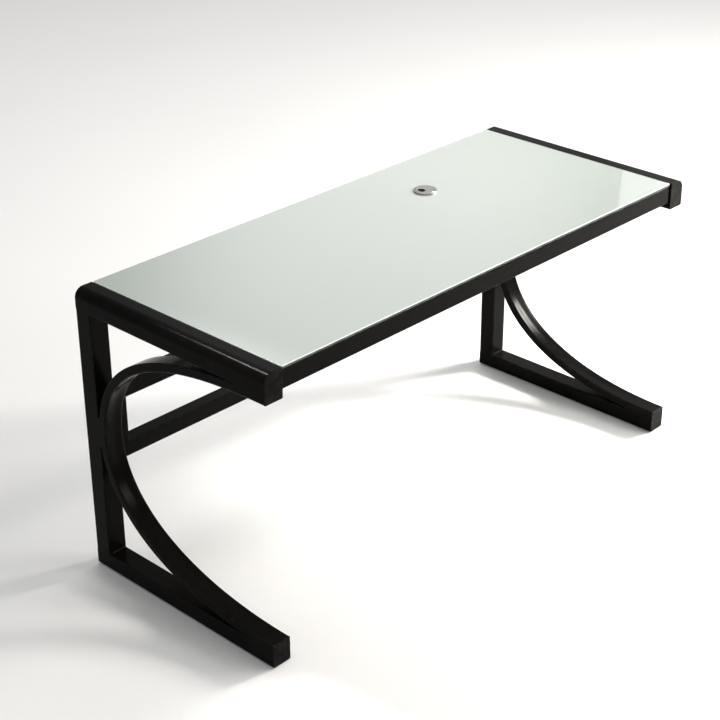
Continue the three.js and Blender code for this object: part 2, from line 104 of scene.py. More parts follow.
# Brace: pulls of the two Bezier halves, how far up its rearmost point is, and how far in from its ends
# (as a share of its length) the sunk wall reaches its full depth
BRACE_THICKNESS = 22 * MM
BRACE_BACK_UP = 375 * MM
BRACE_PULLS = (316 * MM, 200 * MM, 229 * MM, 287 * MM)
BRACE_STATIONS = 90
BRACE_CORNER = 4 * MM
BRACE_DISH = 1.5 * MM
DISH_STEPS = 20
DISH_FADE = 0.16

# Glass, and the steps round a disc
GLASS_CORNER = 4 * MM
GLASS_ARRIS = 1.4 * MM
ROUND_STEPS = 96

# Grommet, heights above the glass
HOLE_RADIUS = 25.3 * MM
LINER_RADIUS = 24.8 * MM
LINER_BORE = 22.4 * MM
LINER_EDGE = 0.4 * MM
FLANGE_FOOT_EDGE = 0.2 * MM
FLANGE_ROUND = 1.6 * MM
SEAT = 1.0 * MM
SEAT_EDGE = 0.3 * MM
SEAT_RIM_CORNER = 0.1 * MM
CAP_GAP = 0.3 * MM
CAP_UNDER_EDGE = 0.2 * MM
CAP_ROUND = 1.4 * MM
SKIRT_RADIUS = 22 * MM
SKIRT_BORE = 20.8 * MM
SKIRT_EDGE = 0.3 * MM
RIM_STEPS = 6
SLOT_CENTRE = Vector((-13 * MM, 3.5 * MM, 0))
SLOT_RADIUS = 11.5 * MM
SLOT_LIMIT = 20 * MM
SLOT_FILLET = 2 * MM
SLOT_EDGE = 0.8 * MM
SLOT_UNDER_EDGE = 0.3 * MM
SLOT_LIMIT_STEPS = 14
SLOT_FILLET_STEPS = 5
SLOT_CIRCLE_STEPS = 26

# Fasteners. A ROUND is a row of (inset from the radius, height) places
BOLT_RADIUS = 4 * MM
BOLT_CHAMFER = 1 * MM
BOLT_HEAD_RADIUS = 6.5 * MM
BOLT_HEAD = 8 * MM
BOLT_HEAD_ROUND = ((1.1 * MM, 0), (0.5 * MM, 0.15 * MM), (0.15 * MM, 0.5 * MM), (0, 1.1 * MM))
BOLT_SEAT_ROUND = ((0, -0.4 * MM), (0.4 * MM, 0))
SOCKET = 3.4 * MM
SOCKET_DEPTH = 4.4 * MM
SOCKET_MOUTH = 0.4 * MM
SOCKET_MOUTH_DEPTH = 0.3 * MM
SCREW_RADIUS = 3 * MM
SCREW_FLANGE = 6.5 * MM
SCREW_FLANGE_ROUND = ((0.5 * MM, -1.5 * MM), (0.1 * MM, -1.1 * MM), (0, -0.7 * MM), (0, 0))
SCREW_HEX = 5.6 * MM
SCREW_HEX_FOOT = -1.6 * MM
SCREW_CROWN = ((0.80, 0), (0.95, 0.35 * MM), (1, 0.9 * MM))
SCREW_HEAD = 5.5 * MM
SCREW_TIP = 2 * MM
SCREW_TIP_INSET = 1.2 * MM
TURN_STEPS = 36

# Pads under the feet and under the glass
FOOT_PAD_ROUND = ((1.2 * MM, 0), (0.4 * MM, 0.3 * MM), (0, 1.1 * MM))
GLASS_PAD_ROUND = ((0, -0.6 * MM), (0.2 * MM, -0.2 * MM), (0.6 * MM, 0))

# Corner cleats
CLEAT_THICKNESS = 3 * MM
CLEAT_BEND = 3.2 * MM
CLEAT_INNER_BEND = 1.0 * MM
CLEAT_TIP = 0.6 * MM
CLEAT_END = 0.5 * MM

# Welds ground flush: how far the wedge between brace and rail is filled, and how high the one at the post
WEDGE_FILL = 100 * MM
POST_FILL_UP = (343 * MM, 426 * MM)

# Weld beads
BEAD_SIZE = 3.4 * MM
BEAD_PITCH = 2.6 * MM
BEAD_STEP = 0.5 * MM
BEAD_ROOT = 0.3 * MM
BEAD_WANDER = 7 * MM
BEAD_ARC_STEPS = 6
BEAD_END_SHARE = 0.35
BEAD_RIPPLE = 0.07
BEAD_SWAY = 0.05
BEAD_UNEVEN = 0.02
BEAD_HOLLOW = 0.42
BEAD_HOLLOW_RIPPLE = 0.35


# ---------------------------------------------------------------- camera, light, floor

def make_camera():
    forward = Vector((
        math.sin(CAMERA_AZIMUTH) * math.cos(CAMERA_DOWN),
        math.cos(CAMERA_AZIMUTH) * math.cos(CAMERA_DOWN),
        -math.sin(CAMERA_DOWN),
    ))
    right = forward.cross(Vector((0, 0, 1))).normalized()
    up = right.cross(forward)
    rolled_right = right * math.cos(CAMERA_ROLL) + up * math.sin(CAMERA_ROLL)
    rolled_up = up * math.cos(CAMERA_ROLL) - right * math.sin(CAMERA_ROLL)
    data = bpy.data.cameras.new("camera")
    data.lens = CAMERA_LENS
    data.sensor_width = CAMERA_SENSOR
    data.clip_end = CAMERA_REACH
    camera = bpy.data.objects.new("camera", data)
    turn = Matrix((rolled_right, rolled_up, -forward)).transposed().to_4x4()
    camera.matrix_world = Matrix.Translation(CAMERA_PLACE) @ turn
    bpy.context.scene.collection.objects.link(camera)
    bpy.context.scene.camera = camera


def softbox(name, place, target, size, watts, colour, spread):
    data = bpy.data.lights.new(name, "AREA")
    data.shape = "RECTANGLE"
    data.size, data.size_y = size
    data.energy = watts
    data.color = colour
    data.spread = math.radians(spread)
    light = bpy.data.objects.new(name, data)
    light.location = place
    light.rotation_euler = (Vector(target) - Vector(place)).to_track_quat("-Z", "Y").to_euler()
    bpy.context.scene.collection.objects.link(light)


def make_studio():
    """Dim even surroundings with a bright patch to the right rear, and the six lights."""
    scene = bpy.context.scene
    scene.view_settings.view_transform = "Standard"
    world = bpy.data.worlds.new("studio")
    world.use_nodes = True
    tree = world.node_tree
    background = tree.nodes["Background"]
    background.inputs["Color"].default_value = (1, 1, 1, 1)
    heading = tree.nodes.new("ShaderNodeTexCoord").outputs["Generated"]
    facing = tree.nodes.new("ShaderNodeVectorMath")
    facing.operation = "DOT_PRODUCT"
    facing.inputs[1].default_value = Vector(BRIGHT_HEADING).normalized()
    glow = tree.nodes.new("ShaderNodeMapRange")
    glow.interpolation_type = "SMOOTHSTEP"
    for index, value in enumerate((*BRIGHT_SPREAD, *BRIGHTNESS), start=1):
        glow.inputs[index].default_value = value
    tree.links.new(heading, facing.inputs[0])
    tree.links.new(facing.outputs["Value"], glow.inputs["Value"])
    tree.links.new(glow.outputs["Result"], background.inputs["Strength"])
    scene.world = world
    for name, settings in LIGHTS.items():
        softbox(name, *settings)


# ---------------------------------------------------------------- materials

class Shader:
    """A Principled material with short ways to add procedural nodes."""

    def __init__(self, name, **settings):
        self.material = bpy.data.materials.new(name)
        self.material.use_nodes = True
        self.tree = self.material.node_tree
        self.surface = self.tree.nodes["Principled BSDF"]
        for socket, value in settings.items():
            self.surface.inputs[socket.replace("_", " ")].default_value = value
        self.place = self.tree.nodes.new("ShaderNodeTexCoord").outputs["Object"]

    def node(self, kind, inputs=None, **settings):
        node = self.tree.nodes.new(kind)
        for key, value in settings.items():
            setattr(node, key, value)
        for key, value in (inputs or {}).items():
            if isinstance(value, bpy.types.NodeSocket):
                self.tree.links.new(value, node.inputs[key])
            else:
                node.inputs[key].default_value = value
        return node

    def noise(self, scale, detail=2.0, roughness=0.5, stretch=None):
        vector = self.place
        if stretch:
            mapping = {"Vector": self.place, "Scale": stretch}
            vector = self.node("ShaderNodeMapping", mapping).outputs["Vector"]
        inputs = {"Vector": vector, "Scale": scale, "Detail": detail, "Roughness": roughness}
        return self.node("ShaderNodeTexNoise", inputs).outputs["Fac"]

    def ramp(self, value, low, high, to_low, to_high):
        inputs = {"Value": value, 1: low, 2: high, 3: to_low, 4: to_high}
        return self.node("ShaderNodeMapRange", inputs).outputs["Result"]

    def blend(self, factor, first, second):
        node = self.node("ShaderNodeMix", data_type="RGBA")
        for index, value in ((0, factor), (6, first), (7, second)):
            if isinstance(value, bpy.types.NodeSocket):
                self.tree.links.new(value, node.inputs[index])
            else:
                node.inputs[index].default_value = value
        return node.outputs[2]

    def maths(self, operation, first, second):
        return self.node("ShaderNodeMath", {0: first, 1: second}, operation=operation).outputs[0]

    def bump(self, height, strength, distance, under=None):
        inputs = {"Height": height, "Strength": strength, "Distance": distance}
        if under:
            inputs["Normal"] = under
        return self.node("ShaderNodeBump", inputs).outputs["Normal"]

    def edges(self, low, high, scale):
        """How worn the edge is here: the piece's own wear value, broken up by noise between low and high."""
        wear = self.node("ShaderNodeAttribute", attribute_name=WEAR).outputs["Fac"]
        return self.maths("MULTIPLY", wear, self.ramp(self.noise(scale, 4), 0.40, 0.64, low, high))

    def link(self, socket, value):
        self.tree.links.new(value, self.surface.inputs[socket])


def powder_coat():
    """Satin black powder coat: orange peel, faint cloudiness, thin and paler on the edges, a little dust."""
    s = Shader("black_powder_coat", Metallic=0.0, IOR=COAT_IOR)
    clouds = s.noise(9, 3)
    grain = s.noise(900, 2)
    peel = s.noise(330, 2, 0.45)
    wear = s.edges(0.15, 0.9, 60)
    base = s.blend(clouds, (0.0028, 0.0024, 0.0021, 1), (0.0044, 0.0040, 0.0036, 1))
    s.link("Base Color", s.blend(wear, base, (0.018, 0.016, 0.014, 1)))
    matte = s.ramp(clouds, *NOISE_MID, 0.17, 0.24)
    matte = s.maths("ADD", matte, s.ramp(grain, *NOISE_MID, -0.02, 0.02))
    s.link("Roughness", s.maths("ADD", matte, s.maths("MULTIPLY", wear, 0.08)))
    s.link("Normal", s.bump(grain, 0.10, 0.06 * MM, s.bump(peel, 0.35, 0.12 * MM)))
    return s.material


def weld_coat():
    """The same black coat where it runs over a weld bead, a little glossier and uneven."""
    s = Shader("black_coat_on_weld", Metallic=0.0, IOR=COAT_IOR)
    lumps = s.noise(420, 3)
    s.link("Base Color", s.blend(lumps, (0.0028, 0.0025, 0.0022, 1), (0.0050, 0.0046, 0.0042, 1)))
    s.link("Roughness", s.ramp(lumps, *NOISE_MID, 0.26, 0.40))
    s.link("Normal", s.bump(lumps, 0.4, 0.2 * MM))
    return s.material


def glass_face():
    """Polished glass over the pale green-white paint on its back."""
    settings = {"Metallic": 0.0, "Specular_IOR_Level": 0.5, "Coat_Weight": 1.0, "Coat_Roughness": 0.01}
    s = Shader("painted_glass_face", **settings)
    drift = s.noise(1.3, 2)
    flow = s.noise(7, 2, 0.5, (1, 0.25, 1))
    s.link("Base Color", s.blend(drift, (0.370, 0.425, 0.380, 1), (0.400, 0.450, 0.410, 1)))
    smears = s.ramp(s.noise(5, 5, 0.6, (1, 2.2, 1)), 0.50, 0.75, 0.0, 0.05)
    s.link("Roughness", s.maths("ADD", smears, 0.035))
    s.link("Normal", s.bump(flow, 0.04, 1.5 * MM))
    return s.material


def glass_edge_painted_light():
    """Polished glass edge: a painted highlight at its top, where light gathers; its foot, at the paint, is
    dark green deepened by painted shade.
    """
    s = Shader("glass_edge_painted_light", Metallic=0.0, Specular_IOR_Level=0.3)
    low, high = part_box("glass_top")
    height = s.node("ShaderNodeSeparateXYZ", {"Vector": s.place}).outputs["Z"]
    painted, clear = (low.z + (high.z - low.z) * share for share in (EDGE_SHADE_TOP, EDGE_HIGHLIGHT_FOOT))
    # Painted light: the edge's colour runs from its dark green with painted shade at the foot to a painted
    # highlight at the top
    up = s.ramp(height, painted, clear, 0.0, 1.0)
    streaks = s.ramp(s.noise(60, 3, 0.5, (1, 1, 12)), 0.35, 0.65, -0.12, 0.12)
    s.link("Base Color", s.blend(s.maths("ADD", up, streaks), (0.02, 0.04, 0.03, 1), (0.86, 0.92, 0.88, 1)))
    s.link("Roughness", s.ramp(s.noise(240, 2), *NOISE_MID, 0.05, 0.13))
    s.link("Normal", s.bump(s.noise(160, 2), 0.12, 0.1 * MM))
    return s.material


def glass_paint():
    """Underside of the glass: the back paint, dull, with the faint ripple of the roller."""
    s = Shader("glass_back_paint", Metallic=0.0, Specular_IOR_Level=0.35)
    drift = s.noise(14, 4)
    ripple = s.noise(90, 3, 0.5, (1, 0.12, 1))
    s.link("Base Color", s.blend(drift, (0.60, 0.66, 0.62, 1), (0.66, 0.71, 0.68, 1)))
    s.link("Roughness", s.ramp(ripple, *NOISE_MID, 0.42, 0.58))
    s.link("Normal", s.bump(ripple, 0.25, 0.2 * MM))
    return s.material


def grommet_metal():
    """Satin zinc casting: fine blast texture, faint clouds, brighter where the edges rub."""
    s = Shader("grommet_satin_metal", Metallic=1.0)
    clouds = s.noise(45, 3)
    blast = s.noise(2200, 2)
    rub = s.edges(0.3, 1.0, 300)
    base = s.blend(clouds, (0.40, 0.385, 0.375, 1), (0.47, 0.455, 0.445, 1))
    s.link("Base Color", s.blend(rub, base, (0.72, 0.70, 0.68, 1)))
    matte = s.ramp(clouds, *NOISE_MID, 0.30, 0.38)
    s.link("Roughness", s.maths("SUBTRACT", matte, s.maths("MULTIPLY", rub, 0.10)))
    s.link("Normal", s.bump(blast, 0.25, 0.04 * MM))
    return s.material


def grommet_painted_shade():
    """The walls inside the grommet: painted shade, near black and dull, a little dusty."""
    s = Shader("grommet_inside_painted_shade", Metallic=0.0, Specular_IOR_Level=0.2)
    dust = s.noise(180, 4)
    s.link("Base Color", s.blend(dust, (0.006, 0.006, 0.006, 1), (0.016, 0.015, 0.014, 1)))
    s.link("Roughness", s.ramp(dust, *NOISE_MID, 0.55, 0.75))
    s.link("Normal", s.bump(s.noise(900, 2), 0.2, 0.05 * MM))
    return s.material


def zinc_plate():
    """Bright zinc on bolts, screws and nuts: turning marks, dull clouds, rubbed corners."""
    s = Shader("zinc_plate", Metallic=1.0)
    clouds = s.noise(160, 4)
    marks = s.noise(1500, 2)
    rub = s.edges(0.4, 1.0, 500)
    base = s.blend(clouds, (0.46, 0.45, 0.42, 1), (0.60, 0.59, 0.56, 1))
    s.link("Base Color", s.blend(rub, base, (0.78, 0.77, 0.75, 1)))
    s.link("Roughness", s.ramp(clouds, *NOISE_MID, 0.26, 0.42))
    s.link("Normal", s.bump(marks, 0.2, 0.05 * MM))
    return s.material


def rubber():
    """Black foot rubber: fine moulded grain, dusty on its rim."""
    s = Shader("foot_rubber", Metallic=0.0, Specular_IOR_Level=0.3)
    grain = s.noise(1300, 2)
    dust = s.edges(0.0, 1.0, 220)
    s.link("Base Color", s.blend(dust, (0.012, 0.012, 0.012, 1), (0.075, 0.072, 0.068, 1)))
    s.link("Roughness", s.ramp(grain, *NOISE_MID, 0.72, 0.92))
    s.link("Normal", s.bump(grain, 0.4, 0.12 * MM))
    return s.material


def silicone():
    """Milky silicone of the pads that the glass lies on."""
    s = Shader("milky_silicone", Metallic=0.0, Subsurface_Weight=0.15, Subsurface_Scale=0.002)
    milk = s.noise(260, 3)
    s.link("Base Color", s.blend(milk, (0.58, 0.60, 0.59, 1), (0.70, 0.72, 0.71, 1)))
    s.link("Roughness", s.ramp(milk, *NOISE_MID, 0.38, 0.52))
    s.link("Normal", s.bump(s.noise(1100, 2), 0.2, 0.06 * MM))
    return s.material


def floor_paint():
    """Plain pale floor, its tone drifting very slightly."""
    s = Shader("pale_floor", Metallic=0.0, Specular_IOR_Level=0.2, Roughness=0.75)
    s.link("Base Color", s.blend(s.noise(1.5, 2), (0.83, 0.83, 0.825, 1), (0.86, 0.86, 0.855, 1)))
    return s.material


# ---------------------------------------------------------------- mesh building

class Shell:
    """Collects loops of points and the faces between them, then becomes one object.

    wear holds a value for each point; paint (the material's index) and flat hold one for each face.
    """

    def __init__(self):
        self.points = []
        self.wear = []
        self.faces = []
        self.paint = []
        self.flat = []

    def loop(self, points, wear=0.0):
        """Adds a loop; wear is one value for the whole loop or one for each of its points."""
        first = len(self.points)
        self.points.extend(Vector(p) for p in points)
        count = len(self.points) - first
        self.wear.extend(wear if isinstance(wear, list) else [wear] * count)
        return list(range(first, len(self.points)))

    def face(self, corners, paint=0, flat=False):
        self.faces.append(corners)
        self.paint.append(paint)
        self.flat.append(flat)

    def strip(self, low, high, paint=0):
        for i in range(len(low)):
            j = (i + 1) % len(low)
            self.face((low[i], low[j], high[j], high[i]), paint)

    def skin(self, loops, paint=0):
        for low, high in zip(loops, loops[1:]):
            self.strip(low, high, paint)

    def plug(self, loops, square=(False, False)):
        """Skins the loops and closes both ends with one face each; a square end has a sharp edge."""
        self.skin(loops)
        self.face(tuple(reversed(loops[0])), flat=square[0])
        self.face(tuple(loops[-1]), flat=square[1])

    def window(self, outer, inner, paint, upward):
        """Flat face between an outer and an inner loop."""
        corners = outer + inner
        for a, b, c in tessellate_polygon([[self.points[i] for i in outer], [self.points[i] for i in inner]]):
            i, j, k = corners[a], corners[b], corners[c]
            normal = (self.points[j] - self.points[i]).cross(self.points[k] - self.points[i])
            self.face((i, j, k) if (normal.z > 0) == upward else (i, k, j), paint)

    def become(self, name, materials, move=None):
        mesh = bpy.data.meshes.new(name)
        mesh.from_pydata([move @ p if move else p for p in self.points], [], self.faces)
        for material in materials:
            mesh.materials.append(material)
        for polygon, paint, flat in zip(mesh.polygons, self.paint, self.flat):
            polygon.material_index = paint
            polygon.use_smooth = not flat
        mesh.attributes.new(WEAR, "FLOAT", "POINT").data.foreach_set("value", self.wear)
        piece = bpy.data.objects.new(name, mesh)
        bpy.context.scene.collection.objects.link(piece)
        flats = piece.modifiers.new("flat_faces_stay_flat", "WEIGHTED_NORMAL")
        flats.weight = FLAT_WEIGHT
        flats.keep_sharp = True
        return piece


def rounded(low, high, radii, steps, inset=0.0):
    """Rectangle with a radius at each corner, counter-clockwise from low-low, shrunk by inset."""
    (u0, v0), (u1, v1) = low, high
    corners = ((u0, v0, 1, 1, 180), (u1, v0, -1, 1, 270), (u1, v1, -1, -1, 0), (u0, v1, 1, -1, 90))
    points = []
    for (u, v, to_u, to_v, start), radius in zip(corners, radii):
        reach = max(radius, inset + SMALLEST_RADIUS)
        for step in range(steps + 1):
            angle = math.radians(start + 90 * step / steps)
            around = reach - inset
            points.append((
                u + to_u * reach + around * math.cos(angle),
                v + to_v * reach + around * math.sin(angle),
            ))
    return points


def corner_wear(radii, steps):
    """Wear of the points that rounded() gives: greatest halfway round each corner, less on a wide one."""
    wear = []
    for radius in radii:
        sharpness = min(1.0, TUBE_CORNER / radius)
        wear += [sharpness * math.sin(math.pi * step / steps) for step in range(steps + 1)]
    return wear


def rolled_edge(edge, steps=EDGE_STEPS):
    """(distance from the end, inset, wear) of the loops that round an end off; a square end has one loop."""
    if edge == 0:
        return [(0, 0, 0)]
    turns = [math.pi / 2 * (1 - i / steps) for i in range(steps + 1)]
    return [(edge * (1 - math.sin(t)), edge * (1 - math.cos(t)), math.sin(2 * t)) for t in turns]


def levels_between(low, high, edge, top_edge=None, steps=EDGE_STEPS):
    """(place, inset, wear) of all loops from low to high, rounded off at both ends."""
    start = [(low + d, inset, wear) for d, inset, wear in rolled_edge(edge, steps)]
    end = rolled_edge(edge if top_edge is None else top_edge, steps)
    return start + [(high - d, inset, wear) for d, inset, wear in reversed(end)]


AXIS_PLACES = {
    "x": lambda u, v, along: (along, u, v),
    "y": lambda u, v, along: (u, along, v),
    "z": lambda u, v, along: (u, v, along),
}


def bar(low, high, axis, corner=TUBE_CORNER, edges=(0, 0), steps=CORNER_STEPS):
    """Rounded section that fills the box from low to high along an axis, its two ends rounded by edges."""
    index = "xyz".index(axis)
    across = [i for i in range(3) if i != index]
    section_low = [low[i] for i in across]
    section_high = [high[i] for i in across]
    radii = corner if isinstance(corner, tuple) else (corner,) * 4
    long_wear = corner_wear(radii, steps)
    shell = Shell()
    loops = []
    for along, inset, end_wear in levels_between(low[index], high[index], *edges):
        outline = rounded(section_low, section_high, radii, steps, inset)
        wear = [max(value, end_wear) for value in long_wear]
        if axis == "y":
            outline.reverse()
            wear.reverse()
        loops.append(shell.loop([AXIS_PLACES[axis](u, v, along) for u, v in outline], wear))
    shell.plug(loops, square=[edge == 0 for edge in edges])
    return shell


def circle(radius, height, steps=TURN_STEPS):
    turn = 2 * math.pi / steps
    return [(radius * math.cos(i * turn), radius * math.sin(i * turn), height) for i in range(steps)]


def circles(radius, places, base=0.0, steps=TURN_STEPS):
    """Circles at (inset from the radius, height above the base) places."""
    return [circle(radius - inset, base + height, steps) for inset, height in places]


def hexagon(radius, height, steps=TURN_STEPS):
    """A hexagon with corners at radius, sampled at the same angles as a circle."""
    points = []
    for i in range(steps):
        angle = 2 * math.pi * i / steps
        reach = radius * math.cos(math.pi / 6) / math.cos(angle % (math.pi / 3) - math.pi / 6)
        points.append((reach * math.cos(angle), reach * math.sin(angle), height))
    return points


def stack(*rings):
    """Closed shell through rings of equal counts; a ring is worn where a neighbour is closer than 1 mm."""
    shell = Shell()
    loops = []
    for i, ring in enumerate(rings):
        neighbours = (*rings[max(i - 1, 0):i], *rings[i + 1:i + 2])
        reach = [math.dist(ring[0], other[0]) for other in neighbours]
        loops.append(shell.loop(ring, 1.0 if min(reach) < MM else 0.0))
    shell.plug(loops)
    return shell


def centred(node, height=0.0):
    """Radius of a round node, and the matrix that moves a piece drawn round the Z axis to its middle."""
    low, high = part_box(node)
    return (high.x - low.x) / 2, Matrix.Translation(((low.x + high.x) / 2, (low.y + high.y) / 2, height))


def finish_piece(piece, body, slot, *nodes):
    """Lets the piece ride a body and hides the CAD nodes it stands for; slot is not used."""
    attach(piece, body)
    if nodes:
        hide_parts(*nodes)


# ---------------------------------------------------------------- side frames

def rail_radii(sign):
    """The top rail's outer top edge has the large radius."""
    if sign < 0:
        return (TUBE_CORNER, TUBE_CORNER, TUBE_CORNER, RAIL_ROUND)
    return (TUBE_CORNER, TUBE_CORNER, RAIL_ROUND, TUBE_CORNER)


def steel_bar(node, axis, coat, into_weld=0.0, **options):
    """A steel section in its CAD box. into_weld runs it on past both ends, into its neighbours' corners."""
    low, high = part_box(node)
    if into_weld:
        index = "xyz".index(axis)
        reach = Vector([into_weld if i == index else -FLUSH_STEP for i in range(3)])
        low -= reach
        high += reach
    piece = bar(low, high, axis, **options).become(f"{node}_skin", [coat])
    finish_piece(piece, "desk", "black_steel", node)


def brace_line(side):
    """Concave side of the brace: (y, z) points with unit normals to the rear."""
    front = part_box(f"foot_front_plate_{side}")[0].y
    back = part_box(f"curved_brace_{side}")[1].y - BRACE_THICKNESS
    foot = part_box(f"foot_front_plate_{side}")[1].z
    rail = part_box(f"rail_front_plate_{side}")[0].z
    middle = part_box(f"foot_rail_{side}")[0].z + BRACE_BACK_UP
    foot_pull, low_pull, high_pull, rail_pull = BRACE_PULLS
    halves = (
        ((front, foot), (front + foot_pull, foot), (back, middle - low_pull), (back, middle)),
        ((back, middle), (back, middle + high_pull), (front + rail_pull, rail), (front, rail)),
    )
    line = []
    for corners in halves:
        knot_a, pull_a, pull_b, knot_b = (Vector((0, y, z)) for y, z in corners)
        stretch = interpolate_bezier(knot_a, pull_a, pull_b, knot_b, BRACE_STATIONS)
        line.extend(stretch if not line else stretch[1:])
    rows = []
    for i, point in enumerate(line):
        ahead = line[min(i + 1, len(line) - 1)]
        behind = line[max(i - 1, 0)]
        tangent = (ahead - behind).normalized()
        rows.append((point, Vector((0, tangent.z, -tangent.y))))
    return rows


def curved_brace(side, coat):
    """Bent tube. Its concave wall has sunk in a little between the corners, as such walls do in bending."""
    node = f"curved_brace_{side}"
    low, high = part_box(node)
    radii = (BRACE_CORNER,) * 4
    section = rounded((low.x, 0), (high.x, BRACE_THICKNESS), radii, CORNER_STEPS)
    wear = corner_wear(radii, CORNER_STEPS)
    first = CORNER_STEPS + 1
    start, end = section[first - 1][0], section[first][0]
    across = [i / DISH_STEPS for i in range(1, DISH_STEPS)]
    sunk = [0.0] * first + [(1 - math.cos(math.tau * t)) / 2 for t in across] + [0.0] * (len(section) - first)
    section[first:first] = [(start + (end - start) * t, 0) for t in across]
    wear[first:first] = [0.0] * len(across)
    line = brace_line(side)
    shell = Shell()
    loops = []
    for i, (point, normal) in enumerate(line):
        along = i / (len(line) - 1)
        bend = min(1.0, along / DISH_FADE, (1 - along) / DISH_FADE)
        dish = BRACE_DISH * bend * bend * (3 - 2 * bend)
        ring = []
        for (x, depth), sink in zip(section, sunk):
            place = point + normal * (depth + dish * sink)
            ring.append((x, max(place.y, low.y), min(max(place.z, low.z), high.z)))
        loops.append(shell.loop(ring, wear))
    shell.plug(loops, square=(True, True))
    finish_piece(shell.become(f"{node}_skin", [coat]), "desk", "black_steel", node)


def flush_weld(name, low_x, high_x, near, far, coat):
    """Weld metal ground flush: fills between two rows of (y, z) points across the width of the frame."""
    shell = Shell()
    outline = [*near, *reversed(far)]
    ends = [shell.loop((x, y, z) for y, z in outline) for x in (low_x + FLUSH_STEP, high_x - FLUSH_STEP)]
    if sum(a[0] * b[1] - b[0] * a[1] for a, b in zip(outline, outline[1:] + outline[:1])) < 0:
        ends.reverse()
    shell.strip(*ends)
    for i in range(len(near) - 1):
        j = len(outline) - 1 - i
        shell.face((ends[0][i], ends[0][j], ends[0][j - 1], ends[0][i + 1]), flat=True)
        shell.face((ends[1][i], ends[1][i + 1], ends[1][j - 1], ends[1][j]), flat=True)
    finish_piece(shell.become(name, [coat]), "desk", "black_steel")


def flush_welds(side, coat):
    """The wedges between brace and foot, brace and top rail, and the touching stretch of brace and post."""
    low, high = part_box(f"curved_brace_{side}")
    post_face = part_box(f"rear_post_{side}")[0].y
    foot_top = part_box(f"foot_rail_{side}")[1].z
    rail_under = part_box(f"top_rail_{side}")[0].z
    floor_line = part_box(f"foot_rail_{side}")[0].z
    back = [point + normal * (BRACE_THICKNESS - BRACE_CORNER) for point, normal in brace_line(side)]
    wedge_end = low.y + WEDGE_FILL
    for name, rows, edge in (
        (f"weld_foot_{side}", back[:len(back) // 2], foot_top - TUBE_CORNER),
        (f"weld_rail_{side}", back[len(back) // 2:], rail_under + TUBE_CORNER),
    ):
        inside = [p for p in rows if p.y < wedge_end]
        flush_weld(name, low.x, high.x, [(p.y, p.z) for p in inside], [(p.y, edge) for p in inside], coat)
    bottom, top = (floor_line + up for up in POST_FILL_UP)
    touching = [p for p in back if p.y > (low.y + high.y) / 2 and bottom < p.z < top]
    flush_weld(f"weld_post_{side}", low.x, high.x, [(p.y, p.z) for p in touching],
               [(post_face + TUBE_CORNER, p.z) for p in touching], coat)


def side_frame(side, sign, coat, rubber_finish):
    radii = rail_radii(sign)
    steel_bar(f"top_rail_{side}", "y", coat, corner=radii, steps=RAIL_STEPS)
    steel_bar(f"rear_post_{side}", "z", coat, into_weld=TUBE_CORNER)
    steel_bar(f"foot_rail_{side}", "y", coat)
    curved_brace(side, coat)
    flush_welds(side, coat)
    steel_bar(f"rail_front_plate_{side}", "y", coat, corner=radii, steps=RAIL_STEPS, edges=(PLATE_EDGE, 0))
    steel_bar(f"rail_rear_plate_{side}", "y", coat, corner=radii, steps=RAIL_STEPS, edges=(0, PLATE_EDGE))
    steel_bar(f"foot_front_plate_{side}", "y", coat, edges=(PLATE_EDGE, 0))
    steel_bar(f"foot_rear_plate_{side}", "y", coat, edges=(0, PLATE_EDGE))
    for end in ("front", "rear"):
        node = f"foot_pad_{end}_{side}"
        radius, centre = centred(node)
        places = (*FOOT_PAD_ROUND, (0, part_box(node)[1].z))
        pad = stack(*circles(radius, places, steps=ROUND_STEPS))
        finish_piece(pad.become(f"{node}_skin", [rubber_finish], centre), "desk", "rubber_pad", node)


# ---------------------------------------------------------------- rear ladder, front and rear rails

def socket_bolt(length):
    """Drawn along +Z: the head ends at 0, the shank at length."""
    return stack(
        hexagon(SOCKET, SOCKET_DEPTH - BOLT_HEAD),
        hexagon(SOCKET, SOCKET_MOUTH_DEPTH - BOLT_HEAD),
        hexagon(SOCKET + SOCKET_MOUTH, -BOLT_HEAD),
        *circles(BOLT_HEAD_RADIUS, BOLT_HEAD_ROUND, -BOLT_HEAD),
        *circles(BOLT_HEAD_RADIUS, BOLT_SEAT_ROUND),
        *circles(BOLT_RADIUS, ((0, 0), (0, length - BOLT_CHAMFER), (BOLT_CHAMFER, length))),
    )


def flange_screw(length):
    """Drawn along +Z: the flange ends at 0, the shank at length."""
    return stack(
        *[hexagon(SCREW_HEX * share, height - SCREW_HEAD) for share, height in SCREW_CROWN],
        hexagon(SCREW_HEX, SCREW_HEX_FOOT),
        *circles(SCREW_FLANGE, SCREW_FLANGE_ROUND),
        *circles(SCREW_RADIUS, ((0, 0), (0, length - SCREW_TIP), (SCREW_TIP_INSET, length))),
    )


def aim(node, direction, back):
    """Matrix that stands a fastener drawn along +Z in its CAD box, pointing along direction."""
    low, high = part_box(node)
    pointing = Vector(direction)
    middle = (low + high) / 2
    start = low if sum(direction) > 0 else high
    seat = Vector([start[i] + pointing[i] * back if pointing[i] else middle[i] for i in range(3)])
    return Matrix.Translation(seat) @ pointing.to_track_quat("Z", "Y").to_matrix().to_4x4()


def put_fastener(node, shell, direction, head, zinc):
    piece = shell.become(f"{node}_skin", [zinc], aim(node, direction, head))
    finish_piece(piece, "desk", "zinc_steel", node)


def ladder(coat, zinc):
    for node in ("lower_cross_bar", "upper_cross_bar"):
        steel_bar(node, "x", coat, edges=(BUTT_EDGE, BUTT_EDGE))
    for side, sign in SIDES:
        steel_bar(f"ladder_upright_{side}", "z", coat, into_weld=TUBE_CORNER)
        for level in ("lower", "upper"):
            node = f"ladder_bolt_{level}_{side}"
            low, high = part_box(node)
            put_fastener(node, socket_bolt(high.x - low.x - BOLT_HEAD), (sign, 0, 0), BOLT_HEAD, zinc)


